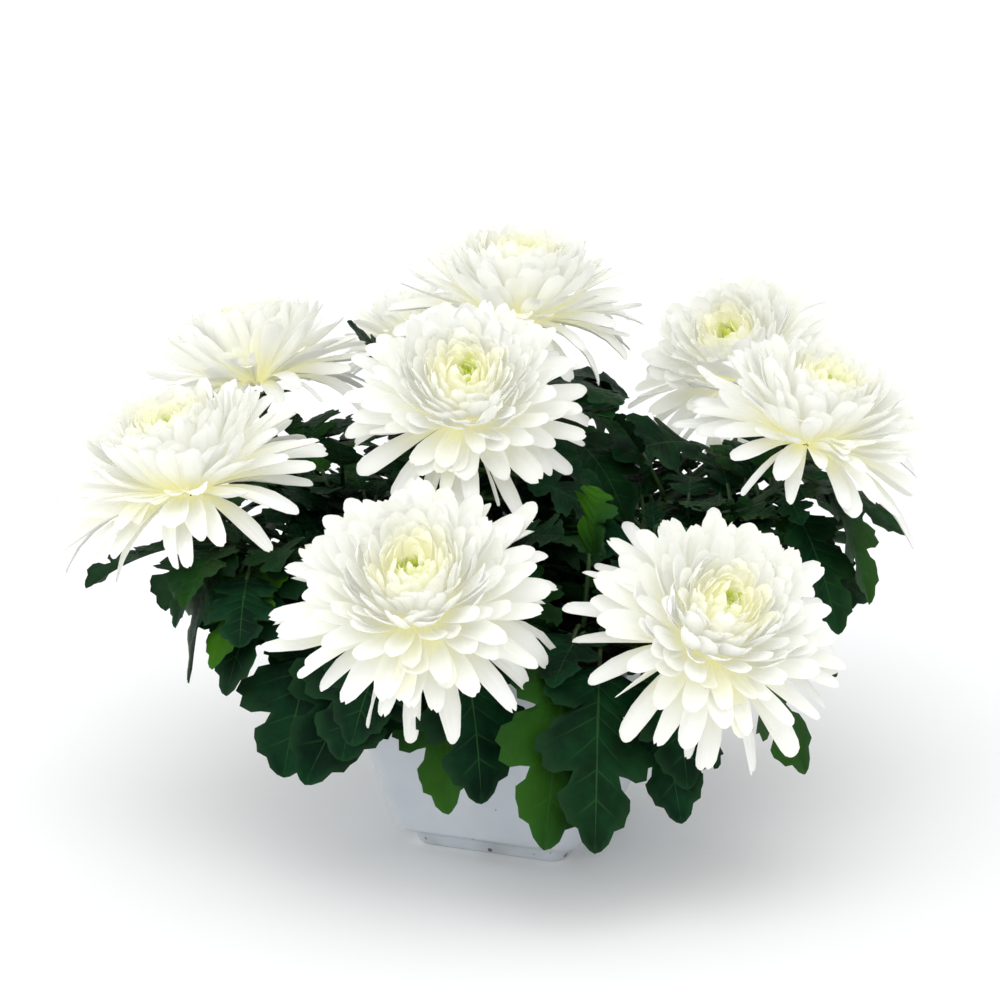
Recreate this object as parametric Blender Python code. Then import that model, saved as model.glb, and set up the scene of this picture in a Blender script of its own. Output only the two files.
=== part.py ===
# Pot chrysanthemum: large double blooms on leafy cuttings, which stand in soil in a square, flared pot.
# Metres, +Z up. The origin is the centre of the pot's foot, and the pot's sides face along X and Y.
# The front of the plant faces -Y, turned 20 degrees towards +X.

import math
import random

import bmesh
import bpy
from mathutils import Matrix, Vector
from mathutils.bvhtree import BVHTree

MM = 0.001
UP = Vector((0, 0, 1))
SHARP_ANGLE = math.radians(50)

# The pot: half widths of the square outline, by height.
POT_HEIGHT = 115 * MM
FOOT_HALF = 39 * MM
FOOT_HEIGHT = 7 * MM
FOOT_FLARE = 3 * MM
BASE_HALF = 47 * MM
# The rounded lower edge of the body: where it starts inside the base's line, and how far out and up it runs.
BASE_TUCK = (2 * MM, 1.5 * MM)
BASE_ROUND = (3 * MM, 8 * MM)
RIM_HALF = 78 * MM
RIM_DEPTH = 9 * MM
RIM_STEP = 2 * MM
RIM_EDGE = 1 * MM
WALL = 3.5 * MM
FLOOR_HEIGHT = 12 * MM
CORNER_SHARE = 0.2
CORNER_POINTS = 3

SOIL_TOP = 99 * MM
SOIL_MOUND = 4 * MM
SOIL_CROWN = 0.55
GAP = 0.3 * MM

# Each cutting is a short woody stub in a hole in the soil. Its branches end in one bloom each.
STUB_RADIUS = 4.5 * MM
STUB_BOTTOM = 76 * MM
STUB_TOP = 113 * MM
STUB_TAPER = 0.9
STUB_SIDES = 8
HOLE_SIDES = 10
BRANCH_RADIUS = (3.6 * MM, 2.6 * MM)
BRANCH_SIDES = 5
BRANCH_STEPS = 6
BRANCH_ROOT = 6 * MM
# How a branch bends, as shares of its reach: up from its stub with a lean, then along the bloom's axis.
BRANCH_RISE = 0.35
BRANCH_LEAN = 0.35
BRANCH_SEAT = 0.32
CUP_RADIUS = 9.5 * MM
CUP_HEIGHT = 8 * MM
CUP_SIDES = 8
CUP_FOOT = 3 * MM
CUP_NECK = 1.25
# The cup's shoulder, as shares of its radius and its height.
CUP_SHOULDER = (0.85, 0.55)

# The bloom: what a bloom of the standard radius measures.
STANDARD_RADIUS = 65 * MM
BLOOM_MIDDLE = 16 * MM
RECEPTACLE_RADIUS = 8 * MM
PETAL_THICKNESS = 0.8 * MM
CORE_SIDES = 10
CORE_TOP = 38 * MM
# Rings of the core, as (radius, height) of a standard bloom.
CORE_RINGS = [(9, 0), (24, 5), (34, 15), (32, 26), (20, 35)]
# Rings of petals from the lowest up: place from the rim (0) to the eye (1), petals, half width in mm.
PETAL_RINGS = [
    (0.02, 11, 7.0),
    (0.17, 11, 8.5),
    (0.34, 9, 9.5),
    (0.52, 7, 9.5),
    (0.70, 5, 9.0),
    (0.86, 3, 7.5),
]
# Sections of a petal: share of its length, share of its half width. A crown petal has two.
OUTER_SECTIONS = [(0.18, 0.4), (0.64, 0.96), (0.92, 0.84)]
CROWN_SECTIONS = [(0.5, 0.8), (0.88, 1.0)]
CROWN_PLACE = 0.45
PETAL_KEEL = 0.3
# How petals run, by place: length in mm, root's height in mm, and rise at the root and at the tip in degrees.
PETAL_LENGTH = [(0, 60), (0.15, 59), (0.35, 54), (0.6, 46), (0.8, 39), (0.92, 29), (1, 19)]
ROOT_HEIGHT = [(0, 4), (1, 8)]
ROOT_RISE = [(0, 8), (0.15, 20), (0.35, 38), (0.6, 60), (0.8, 74), (1, 88)]
TIP_RISE = [(0, -48), (0.15, -16), (0.35, 16), (0.6, 60), (0.8, 92), (1, 106)]
# Each ring of petals is turned on from the one below it, and a petal strays a little in heading and in place.
RING_TURN = 2.4
HEADING_DRAW = 0.1
PLACE_DRAW = 0.05

# Leaves: thin lobed blades on a narrow stalk.
STALK_SHARES = (0.22, 0.45)
BLADE_LONGEST = 78 * MM
STALK_HALF = 1.5 * MM
RIB_THICKNESS = 2.2 * MM
CLEARANCE = 1.0 * MM
# A leaf may run inside its branch up to the first share of its length, and meet other leaves to the second.
ROOT_SHARE = 0.14
ROOT_CORE = 0.03
LEAF_TOTAL = 92
LEAF_TRIES = 600
SEED = 5
# A leaf's length, as a share of the path through its three control points.
CURVE_SHARE = 0.9
# The wave along a leaf's edges: its rate over the blade, and how far the two edges are out of step.
WAVE_RATE = 7.5
WAVE_LAG = 1.3

# Leaves spread evenly along each branch. By share of the branch, in mm: how far they reach out and hang down.
LEAVES_PER_BRANCH = 8
SPREAD_SHARES = (0.1, 0.88)
SPREAD_REACH = [(0, 84), (1, 68)]
SPREAD_DROP = [(0, 58), (1, 6)]
SPREAD_OUTWARD = 6
LEAF_TURN = 2.4
BRANCH_TURN = 1.1

# Leaves drawn at random, which fill what room is left: share of the branch, reach in mm and rise.
FILLER_LEAVES = 120
FILLER_SHARES = (0.1, 0.9)
FILLER_REACH = (48, 76)
FILLER_RISE = (-0.5, 0.4)

# What is drawn for each try at a leaf. The swing, the shortening and the lift grow from try to try.
ROOT_DRAW = 0.09
SWING_DRAW = 1.6
SHORTER = 0.35
LIFT_DRAW = (-0.06, 0.04)
OVER_DRAW = (0.3, 0.75)
ARCH_DRAW = (-0.05, 0.4)
ROLL_DRAW = 0.8
FOLD_DRAW = (-0.15, 0.3)
WAVE_DRAW = (0.08, 0.2)

# Half of a leaf's outline, as shares of the blade's length along it and across it.
LEAF_OUTLINE = [
    (0.00, 0.02),
    (0.10, 0.21),
    (0.31, 0.33),
    (0.36, 0.17),
    (0.50, 0.37),
    (0.71, 0.31),
    (0.68, 0.16),
    (0.87, 0.18),
]
# Points on the midrib, and the outline points that each one's fan takes in.
LEAF_RIB = [(0.18, 0, 3), (0.45, 3, 6), (0.72, 6, 7)]

# Cuttings: where each stands in the soil.
CUTTINGS = {
    "left": (-40, -8),
    "back": (-14, 40),
    "right": (42, 20),
    "front": (-12, -34),
    "front_right": (40, -34),
}

# Blooms: cutting, centre in mm, radius in mm, lean from upright and the heading of the lean in degrees.
BLOOMS = {
    "left_front": ("left", (-146, -75, 194), 66, 18, 235),
    "left_back": ("left", (-167, 50, 222), 62, 12, 165),
    "back_top": ("back", (-36, 109, 255), 65, 8, -50),
    "back_small": ("back", (-118, 170, 219), 50, 22, 140),
    "centre": ("front", (-23, -8, 225), 60, 42, -70),
    "front_left": ("front", (-7, -114, 154), 65, 37, -75),
    "front_right": ("front_right", (121, -67, 140), 62, 44, -50),
    "right": ("right", (136, 66, 210), 62, 22, -25),
    "right_back": ("right", (68, 179, 217), 60, 38, -105),
}

# Leaves that are placed one by one: branch, share of its length, tip in mm, roll in degrees. They stray less.
AIMED_FREEDOM = 0.3
AIMED_LEAVES = [
    ("left_front", 0.70, (-135, -98, 93), 0),
    ("front_right", 0.35, (85, -128, 47), 0),
    ("front_left", 0.65, (30, -127, 63), 0),
    ("front_left", 0.20, (-55, -137, 65), 0),
    ("front_left", 0.30, (-26, -142, 81), 0),
    ("front_right", 0.20, (62, -132, 47), 0),
    ("left_front", 0.35, (-75, -118, 59), 0),
    ("front_left", 0.50, (0, -138, 60), 0),
    ("front_right", 0.60, (116, -85, 66), 0),
    ("front_right", 0.50, (103, -101, 57), 0),
    ("right", 0.50, (165, 81, 116), 0),
    ("left_front", 0.50, (-112, -117, 109), 20),
    ("front_right", 0.80, (159, -27, 59), 0),
    ("right", 0.40, (154, 56, 80), 0),
    ("front_right", 0.30, (49, -110, 104), 0),
    ("front_right", 0.15, (54, -33, 193), 0),
    ("back_top", 0.75, (35, 66, 212), 15),
    ("right_back", 0.55, (30, 70, 182), -20),
    ("back_small", 0.60, (-128, 88, 242), 0),
    ("centre", 0.30, (30, -52, 150), 0),
    ("left_back", 0.35, (-116, -48, 128), 0),
    ("left_front", 0.55, (-156, -40, 104), 0),
    ("right", 0.30, (112, -2, 88), 0),
    ("right", 0.60, (128, 6, 150), 0),
]


def clear_scene():
    for obj in list(bpy.data.objects):
        bpy.data.objects.remove(obj, do_unlink=True)


def material(name, colour, roughness):
    made = bpy.data.materials.new(name)
    made.use_nodes = True
    surface = made.node_tree.nodes["Principled BSDF"]
    surface.inputs["Base Color"].default_value = (*colour, 1)
    surface.inputs["Roughness"].default_value = roughness
    surface.inputs["Metallic"].default_value = 0
    return made


def circle(radius, height, sides):
    return [
        Vector((radius * math.cos(math.tau * k / sides), radius * math.sin(math.tau * k / sides), height))
        for k in range(sides)
    ]


def rounded_square(half, height):
    """A square with arcs for corners, anticlockwise from above."""
    radius = half * CORNER_SHARE
    points = []
    for quarter in range(4):
        corner = Vector((half - radius, half - radius, height))
        for k in range(CORNER_POINTS):
            angle = math.radians(90 * k / (CORNER_POINTS - 1))
            point = corner + radius * Vector((math.cos(angle), math.sin(angle), 0))
            points.append(Matrix.Rotation(quarter * math.pi / 2, 3, "Z") @ point)
    return points


def loft(rings, tip=None):
    """A closed solid through rings of points: the first ring's face is extruded from ring to ring."""
    bm = bmesh.new()
    face = bm.faces.new([bm.verts.new(point) for point in rings[0]])
    for number, ring in enumerate(rings[1:]):
        made = bmesh.ops.extrude_face_region(bm, geom=[face])["geom"]
        if number:
            bmesh.ops.delete(bm, geom=[face], context="FACES_ONLY")
        face = next(item for item in made if isinstance(item, bmesh.types.BMFace))
        for vert, point in zip(face.verts, ring):
            vert.co = point
    if tip is not None:
        bmesh.ops.pointmerge(bm, verts=face.verts[:], merge_co=tip)
    return bm


def finished(bm):
    """The points and triangles of a closed bmesh, with its faces pointing out."""
    bmesh.ops.recalc_face_normals(bm, faces=bm.faces)
    bmesh.ops.triangulate(bm, faces=bm.faces)
    bm.verts.index_update()
    points = [vert.co.copy() for vert in bm.verts]
    faces = [tuple(vert.index for vert in face.verts) for face in bm.faces]
    bm.free()
    return points, faces


def add_object(name, solid, surface=None):
    points, faces = solid
    mesh = bpy.data.meshes.new(name)
    mesh.from_pydata(points, [], faces)
    if surface is not None:
        mesh.materials.append(surface)
    obj = bpy.data.objects.new(name, mesh)
    bpy.context.collection.objects.link(obj)
    return obj


def fuse(name, base, pieces, surface):
    """One body made of the base and all the pieces that are rooted in it."""
    obj = add_object(name, base, surface)
    loose = bpy.data.collections.new(name + "_pieces")
    bpy.context.scene.collection.children.link(loose)
    for number, piece in enumerate(pieces):
        helper = add_object(f"{name}_piece_{number}", piece)
        bpy.context.collection.objects.unlink(helper)
        loose.objects.link(helper)
    union = obj.modifiers.new("Fuse", "BOOLEAN")
    union.operation = "UNION"
    union.operand_type = "COLLECTION"
    union.collection = loose
    # The exact solver leaves edges open where thin leaves grow out of a branch.
    union.solver = "MANIFOLD"
    graph = bpy.context.evaluated_depsgraph_get()
    mesh = bpy.data.meshes.new_from_object(obj.evaluated_get(graph))
    obj.modifiers.clear()
    obj.data = mesh
    for helper in list(loose.objects):
        bpy.data.objects.remove(helper, do_unlink=True)
    bpy.data.collections.remove(loose)
    mesh.materials.clear()
    mesh.materials.append(surface)
    mesh.shade_smooth()
    mesh.set_sharp_from_angle(angle=SHARP_ANGLE)
    return obj


def tree_of(solid):
    return BVHTree.FromPolygons(solid[0], solid[1])


def joined(solids):
    """Several solids as one list of points and one of faces."""
    points = []
    faces = []
    for more, their_faces in solids:
        faces += [[corner + len(points) for corner in face] for face in their_faces]
        points += more
    return points, faces


def bezier(points, share):
    """A point of the Bezier curve with these control points."""
    while len(points) > 1:
        points = [a.lerp(b, share) for a, b in zip(points, points[1:])]
    return points[0]


def bezier_heading(points, share):
    steps = [b - a for a, b in zip(points, points[1:])]
    return bezier(steps, share).normalized()


def pot_half(height):
    """Half the pot's outer width at a height on its flared wall."""
    share = (height - FOOT_HEIGHT) / (POT_HEIGHT - FOOT_HEIGHT)
    return BASE_HALF + (RIM_HALF - RIM_STEP - BASE_HALF) * share


def pot():
    rim_low = POT_HEIGHT - RIM_DEPTH
    outline = [
        (FOOT_HALF, 0),
        (FOOT_HALF + FOOT_FLARE, FOOT_HEIGHT),
        (BASE_HALF - BASE_TUCK[0], FOOT_HEIGHT + BASE_TUCK[1]),
        (BASE_HALF + BASE_ROUND[0], FOOT_HEIGHT + BASE_ROUND[1]),
        (pot_half(rim_low), rim_low),
        (RIM_HALF, rim_low + RIM_STEP),
        (RIM_HALF, POT_HEIGHT - RIM_EDGE),
        (RIM_HALF - RIM_EDGE, POT_HEIGHT),
        (RIM_HALF - WALL - RIM_STEP + RIM_EDGE, POT_HEIGHT),
        (pot_half(rim_low) - WALL, rim_low),
        (pot_half(FLOOR_HEIGHT) - WALL, FLOOR_HEIGHT),
    ]
    return finished(loft([rounded_square(half, height) for half, height in outline]))


def soil():
    """Fills the pot inside to a little under its rim, with a low mound."""
    low = FLOOR_HEIGHT + GAP
    inset = WALL + 2 * GAP
    rings = [
        rounded_square(pot_half(low) - inset, low),
        rounded_square(pot_half(SOIL_TOP) - inset, SOIL_TOP),
        rounded_square(SOIL_CROWN * pot_half(SOIL_TOP), SOIL_TOP + SOIL_MOUND),
    ]
    return finished(loft(rings))


def cut_stem_holes(obj):
    bm = bmesh.new()
    for place in CUTTINGS.values():
        spot = Matrix.Translation((place[0] * MM, place[1] * MM, STUB_BOTTOM - GAP))
        reach = POT_HEIGHT - STUB_BOTTOM
        bmesh.ops.create_cone(
            bm,
            cap_ends=True,
            segments=HOLE_SIDES,
            radius1=STUB_RADIUS + 2 * GAP,
            radius2=STUB_RADIUS + 2 * GAP,
            depth=reach,
            matrix=spot @ Matrix.Translation((0, 0, reach / 2)),
        )
    cutter = add_object("soil_hole_cutter", finished(bm))
    cutter.hide_render = True
    cutter.display_type = "WIRE"
    cut = obj.modifiers.new("Stem holes", "BOOLEAN")
    cut.operation = "DIFFERENCE"
    cut.object = cutter


def lean_axis(lean, heading):
    """The way a bloom faces: upright, leant over towards a heading."""
    across = math.sin(math.radians(lean))
    heading = math.radians(heading)
    return Vector((across * math.cos(heading), across * math.sin(heading), math.cos(math.radians(lean))))


def bloom_pose(centre, radius, lean, heading):
    """The matrix from bloom space, with its origin under the bloom and +Z along its axis, to the part."""
    axis = lean_axis(lean, heading)
    scale = radius * MM / STANDARD_RADIUS
    base = Vector(centre) * MM - axis * BLOOM_MIDDLE * scale
    turn = axis.to_track_quat("Z", "Y").to_matrix().to_4x4()
    return Matrix.Translation(base) @ turn @ Matrix.Scale(scale, 4)


def mix(table, place):
    """Linear reading of a table of (place, value) pairs."""
    for (low, first), (high, second) in zip(table, table[1:]):
        if place <= high:
            return first + (second - first) * (place - low) / (high - low)
    return table[-1][1]


def petal_middle(place, share):
    """(distance from the bloom's axis, height, rise angle) of a petal's midline at a share of its length."""
    length = mix(PETAL_LENGTH, place) * MM
    rise = math.radians(mix(ROOT_RISE, place))
    bend = math.radians(mix(TIP_RISE, place)) - rise
    bend = bend if abs(bend) > 1e-3 else 1e-3
    out = RECEPTACLE_RADIUS * (1 - place)
    height = mix(ROOT_HEIGHT, place) * MM
    angle = rise + bend * share
    out += length * (math.sin(angle) - math.sin(rise)) / bend
    height += length * (math.cos(rise) - math.cos(angle)) / bend
    return out, height, angle


def petal(place, heading, half_width):
    """A cupped blade with an obtuse tip. It starts inside the core."""
    sections = CROWN_SECTIONS if place > CROWN_PLACE else OUTER_SECTIONS
    rings = [petal_ring(place, share, heading, half_width * width) for share, width in sections]
    out, height, _ = petal_middle(place, 1.0)
    tip = Vector((out * math.cos(heading), out * math.sin(heading), height))
    return finished(loft(rings, tip))


def petal_ring(place, share, heading, half_width):
    out, height, angle = petal_middle(place, share)
    outward = Vector((math.cos(heading), math.sin(heading), 0))
    middle = outward * out + UP * height
    above = -outward * math.sin(angle) + UP * math.cos(angle)
    side = UP.cross(outward)
    return [
        middle + side * half_width,
        middle - side * half_width,
        middle - above * (PETAL_THICKNESS + PETAL_KEEL * half_width),
    ]


def core():
    rings = [circle(radius * MM, height * MM, CORE_SIDES) for radius, height in CORE_RINGS]
    return finished(loft(rings, Vector((0, 0, CORE_TOP))))


def moved(solid, matrix):
    return [matrix @ point for point in solid[0]], solid[1]


def bloom_petals(draw):
    petals = []
    for number, (place, count, half_width) in enumerate(PETAL_RINGS):
        start = number * RING_TURN
        for k in range(count):
            heading = start + math.tau * (k + draw.uniform(-HEADING_DRAW, HEADING_DRAW)) / count
            strayed = place + draw.uniform(0, PLACE_DRAW)
            petals.append(petal(strayed, heading, half_width * MM))
    return petals


def branch_curve(name):
    """Control points from the top of the stub to the underside of the bloom's cup."""
    cutting, centre, radius, lean, heading = BLOOMS[name]
    axis = lean_axis(lean, heading)
    top = bloom_pose(centre, radius, lean, heading).translation - axis * (CUP_HEIGHT + GAP)
    x, y = CUTTINGS[cutting]
    start = Vector((x * MM, y * MM, STUB_TOP - BRANCH_ROOT))
    reach = (top - start).length
    rise = UP + BRANCH_LEAN * (top - start).normalized()
    return [start, start + BRANCH_RISE * reach * rise, top - BRANCH_SEAT * reach * axis, top]


def branch(curve):
    rings = []
    for step in range(BRANCH_STEPS + 1):
        share = step / BRANCH_STEPS
        ahead = bezier_heading(curve, share)
        turn = ahead.to_track_quat("Z", "Y").to_matrix()
        radius = BRANCH_RADIUS[0] + (BRANCH_RADIUS[1] - BRANCH_RADIUS[0]) * share
        middle = bezier(curve, share)
        rings.append([middle + turn @ point for point in circle(radius, 0, BRANCH_SIDES)])
    return finished(loft(rings))


def branch_point(curve, share):
    """A point on the straight run of the branch's tube at a share of its length."""
    step = share * BRANCH_STEPS
    low = int(step)
    return bezier(curve, low / BRANCH_STEPS).lerp(bezier(curve, (low + 1) / BRANCH_STEPS), step - low)


def cup(name):
    """The green cup under a bloom, with its flat top one gap under the petals' core."""
    _, centre, radius, lean, heading = BLOOMS[name]
    turn = lean_axis(lean, heading).to_track_quat("Z", "Y").to_matrix().to_4x4()
    seat = Matrix.Translation(bloom_pose(centre, radius, lean, heading).translation) @ turn
    rings = [
        circle(BRANCH_RADIUS[1] * CUP_NECK, -CUP_HEIGHT - CUP_FOOT, CUP_SIDES),
        circle(CUP_RADIUS * CUP_SHOULDER[0], -CUP_SHOULDER[1] * CUP_HEIGHT, CUP_SIDES),
        circle(CUP_RADIUS, -GAP, CUP_SIDES),
    ]
    return moved(finished(loft(rings)), seat)


def leaf_sheet():
    """A flat leaf with a sharp outline and a raised midrib on both faces.

    Its stalk starts at x = -1, and its blade runs from x = 0 to 1.
    """
    bm = bmesh.new()
    tip = bm.verts.new((1, 0, 0))
    outline = [(-1, LEAF_OUTLINE[0][1]), *LEAF_OUTLINE]
    left = [bm.verts.new((x, y, 0)) for x, y in outline]
    right = [bm.verts.new((x, -y, 0)) for x, y in outline]
    roots = []
    for height in (0.5, -0.5):
        rib = [bm.verts.new((x, 0, height)) for x in (-1, 0, *[place for place, _, _ in LEAF_RIB])]
        roots.append(rib[0])
        for edge in (left, right):
            bm.faces.new((edge[0], edge[1], rib[1], rib[0]))
            for number, (_, first, last) in enumerate(LEAF_RIB):
                bm.faces.new((edge[first + 1], rib[number + 1], rib[number + 2]))
                for k in range(first, last):
                    bm.faces.new((edge[k + 1], rib[number + 2], edge[k + 2]))
            bm.faces.new((edge[-1], rib[-1], tip))
    bm.faces.new((left[0], roots[0], right[0], roots[1]))
    return finished(bm)


def bend_leaf(sheet, leaf, start=0.0, shift=0.0):
    """The flat leaf bent along its own curve. For a test it can start further out and lie above or below."""
    curve, stalk, roll, fold, wave = leaf
    length = CURVE_SHARE * ((curve[1] - curve[0]).length + (curve[2] - curve[1]).length)
    stalk = max(stalk, 1 - BLADE_LONGEST / length)
    blade = length * (1 - stalk)
    level = UP.cross(curve[-1] - curve[0]).normalized()
    points = []
    for flat in sheet[0]:
        on_stalk = flat.x <= 0
        share = start if flat.x < 0 else stalk + (1 - stalk) * flat.x
        ahead = bezier_heading(curve, share)
        turn = Matrix.Rotation(roll * share, 3, ahead)
        above = turn @ ahead.cross(level).normalized()
        away = abs(flat.y)
        across = flat.y * blade
        rise = blade * away * (fold + wave * math.sin(WAVE_RATE * flat.x + math.copysign(WAVE_LAG, flat.y)))
        if on_stalk:
            across = math.copysign(STALK_HALF, flat.y) if away else 0
            rise = 0
        rise += flat.z * RIB_THICKNESS + shift
        points.append(bezier(curve, share) + turn @ level * across + above * rise)
    return points, sheet[1]


def leaf_curve(base, tip, out, arch):
    """Leaves the stem, passes over at a share of the way out and arches down to the tip."""
    over = base.lerp(tip, out)
    over.z = max(base.z, over.z) + arch * (tip - base).length
    return [base, over, tip]


def wanted_leaves(curves):
    """(branch, share, tip, roll, freedom) of every leaf that the plant should have."""
    wanted = []
    for name, share, tip, roll in AIMED_LEAVES:
        wanted.append((name, share, Vector(tip) * MM, math.radians(roll), AIMED_FREEDOM))
    for number, (name, curve) in enumerate(curves.items()):
        for k in range(LEAVES_PER_BRANCH):
            share = SPREAD_SHARES[0] + (SPREAD_SHARES[1] - SPREAD_SHARES[0]) * (k + 0.5) / LEAVES_PER_BRANCH
            base = bezier(curve, share)
            heading = number * BRANCH_TURN + LEAF_TURN * k
            away = Vector((base.x, base.y, 0)) * SPREAD_OUTWARD
            out = Vector((math.cos(heading), math.sin(heading), 0)) + away
            tip = base + out.normalized() * mix(SPREAD_REACH, share) * MM - UP * mix(SPREAD_DROP, share) * MM
            wanted.append((name, share, tip, 0.0, 1.0))
    draw = random.Random(SEED)
    for _ in range(FILLER_LEAVES):
        name = draw.choice(list(curves))
        share = draw.uniform(*FILLER_SHARES)
        heading = draw.uniform(0, math.tau)
        side = Vector((math.cos(heading), math.sin(heading), draw.uniform(*FILLER_RISE)))
        tip = bezier(curves[name], share) + side * draw.uniform(*FILLER_REACH) * MM
        wanted.append((name, share, tip, 0.0, 1.0))
    return wanted


def clear_of(sheet, leaf, start, trees):
    """True if the leaf, from a share of its length outwards, keeps its distance from what the trees hold."""
    rooms = (tree_of(bend_leaf(sheet, leaf, start, shift)) for shift in (-CLEARANCE, CLEARANCE))
    return not any(room.overlap(tree) for room in rooms for tree in trees)


def grow_leaves(curves, others, sheet):
    """Each leaf takes its first draw that stays clear of the other solids and of the leaves before it."""
    draw = random.Random(SEED)
    grown = []
    leaves = {name: [] for name in curves}
    wanted = wanted_leaves(curves)
    while wanted and sum(map(len, leaves.values())) < LEAF_TOTAL:
        name, share, aim, roll, freedom = wanted.pop(0)
        for attempt in range(LEAF_TRIES):
            slack = freedom * attempt / LEAF_TRIES
            base = branch_point(curves[name], share + draw.uniform(-ROOT_DRAW, ROOT_DRAW))
            swing = Matrix.Rotation(draw.uniform(-SWING_DRAW, SWING_DRAW) * slack, 3, "Z")
            tip = base + (swing @ (aim - base)) * (1 - SHORTER * slack)
            tip.z += draw.uniform(*LIFT_DRAW) * slack
            curve = leaf_curve(base, tip, draw.uniform(*OVER_DRAW), draw.uniform(*ARCH_DRAW))
            turn = roll + draw.uniform(-ROLL_DRAW, ROLL_DRAW)
            stalk = draw.uniform(*STALK_SHARES)
            fold = draw.uniform(*FOLD_DRAW)
            wave = draw.uniform(*WAVE_DRAW)
            leaf = (curve, stalk, turn, fold, wave)
            if clear_of(sheet, leaf, ROOT_SHARE, [others]) and clear_of(sheet, leaf, ROOT_CORE, grown):
                leaves[name].append(leaf)
                grown.append(tree_of(bend_leaf(sheet, leaf, ROOT_CORE)))
                break
    return leaves


def main():
    clear_scene()
    white_glaze = material("white_glaze", (0.62, 0.65, 0.69), 0.4)
    peat = material("peat", (0.03, 0.02, 0.012), 0.95)
    foliage = material("foliage", (0.01, 0.06, 0.02), 0.5)
    white_petals = material("white_petals", (0.88, 0.88, 0.8), 0.6)

    pot_solid = pot()
    soil_solid = soil()
    add_object("pot", pot_solid, white_glaze)
    cut_stem_holes(add_object("soil", soil_solid, peat))

    solids = [pot_solid, soil_solid]
    for number, (name, (_, centre, radius, lean, heading)) in enumerate(BLOOMS.items()):
        pose = bloom_pose(centre, radius, lean, heading)
        petals = [moved(solid, pose) for solid in bloom_petals(random.Random(SEED + number))]
        obj = fuse("bloom_" + name, moved(core(), pose), petals, white_petals)
        mesh = obj.data
        solids.append(([vert.co for vert in mesh.vertices], [face.vertices for face in mesh.polygons]))

    curves = {name: branch_curve(name) for name in BLOOMS}
    branches = {name: branch(curve) for name, curve in curves.items()}
    cups = {name: cup(name) for name in BLOOMS}
    solids += [*branches.values(), *cups.values()]
    sheet = leaf_sheet()
    leaves = grow_leaves(curves, tree_of(joined(solids)), sheet)

    for cutting, (x, y) in CUTTINGS.items():
        foot = circle(STUB_RADIUS, STUB_BOTTOM, STUB_SIDES)
        head = circle(STUB_RADIUS * STUB_TAPER, STUB_TOP, STUB_SIDES)
        stub = moved(finished(loft([foot, head])), Matrix.Translation((x * MM, y * MM, 0)))
        pieces = []
        for name in BLOOMS:
            if BLOOMS[name][0] == cutting:
                pieces += [branches[name], cups[name]]
                pieces += [bend_leaf(sheet, leaf) for leaf in leaves[name]]
        fuse("cutting_" + cutting, stub, pieces, foliage)


main()
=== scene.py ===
import math
import random

import bmesh
import bpy
from mathutils import Matrix, Vector, noise
from mathutils.bvhtree import BVHTree
from mathutils.kdtree import KDTree


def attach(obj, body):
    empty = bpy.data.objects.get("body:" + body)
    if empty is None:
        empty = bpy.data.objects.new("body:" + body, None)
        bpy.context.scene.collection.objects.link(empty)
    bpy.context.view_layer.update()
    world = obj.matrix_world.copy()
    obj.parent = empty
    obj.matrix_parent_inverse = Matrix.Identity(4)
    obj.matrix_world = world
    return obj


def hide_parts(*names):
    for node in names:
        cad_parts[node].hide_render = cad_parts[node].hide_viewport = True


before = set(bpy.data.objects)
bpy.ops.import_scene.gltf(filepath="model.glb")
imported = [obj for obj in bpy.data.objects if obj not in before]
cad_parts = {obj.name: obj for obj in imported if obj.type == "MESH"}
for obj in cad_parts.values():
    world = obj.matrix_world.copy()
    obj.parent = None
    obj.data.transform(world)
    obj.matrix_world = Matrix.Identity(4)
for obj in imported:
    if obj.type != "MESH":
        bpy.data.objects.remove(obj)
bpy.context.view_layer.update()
print("frame loaded:", len(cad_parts), "nodes")

mm = 0.001
up = Vector((0, 0, 1))


# small helpers

def mix(table, place):  # linear reading of a table of (place, value) pairs
    for (low, first), (high, second) in zip(table, table[1:]):
        if place <= high:
            return first + (second - first) * (place - low) / (high - low)
    return table[-1][1]


def ease(low, high, value):  # smooth step from 0 to 1
    share = min(max((value - low) / (high - low), 0), 1)
    return share * share * (3 - 2 * share)


def bezier(points, share):
    while len(points) > 1:
        points = [a.lerp(b, share) for a, b in zip(points, points[1:])]
    return points[0]


def bezierHeading(points, share):
    steps = [b - a for a, b in zip(points, points[1:])]
    return bezier(steps, share).normalized()


def outwardAt(heading):
    return Vector((math.cos(heading), math.sin(heading), 0))


def asMesh(name, bm):
    mesh = bpy.data.meshes.new(name)
    bm.to_mesh(mesh)
    bm.free()
    return mesh


def addObject(name, data, spot=(0, 0, 0), ahead=None):
    item = bpy.data.objects.new(name, data)
    bpy.context.collection.objects.link(item)
    item.location = spot
    if ahead is not None:
        item.rotation_mode = "QUATERNION"
        item.rotation_quaternion = ahead.to_track_quat("-Z", "Y")
    return item


def addPiece(name, bm, surface, node):
    for face in bm.faces:
        face.smooth = True
    mesh = asMesh(name, bm)
    mesh.materials.append(surface)
    piece = addObject(name, mesh)
    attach(piece, "root")
    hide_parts(node)
    return piece


def addCopy(bm, mesh):  # its new vertices
    first = len(bm.verts)
    bm.from_mesh(mesh)
    bm.verts.ensure_lookup_table()
    return bm.verts[first:]


def pullFaces(bm, faces, kind):  # what is new of that kind
    made = bmesh.ops.extrude_face_region(bm, geom=faces)["geom"]
    return [item for item in made if isinstance(item, kind)]


def pullEnd(bm, face, inner):  # an inner face isn't kept where the new one was pulled from
    end = pullFaces(bm, [face], bmesh.types.BMFace)[0]
    if inner:
        bmesh.ops.delete(bm, geom=[face], context="FACES_ONLY")
    return end


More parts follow.
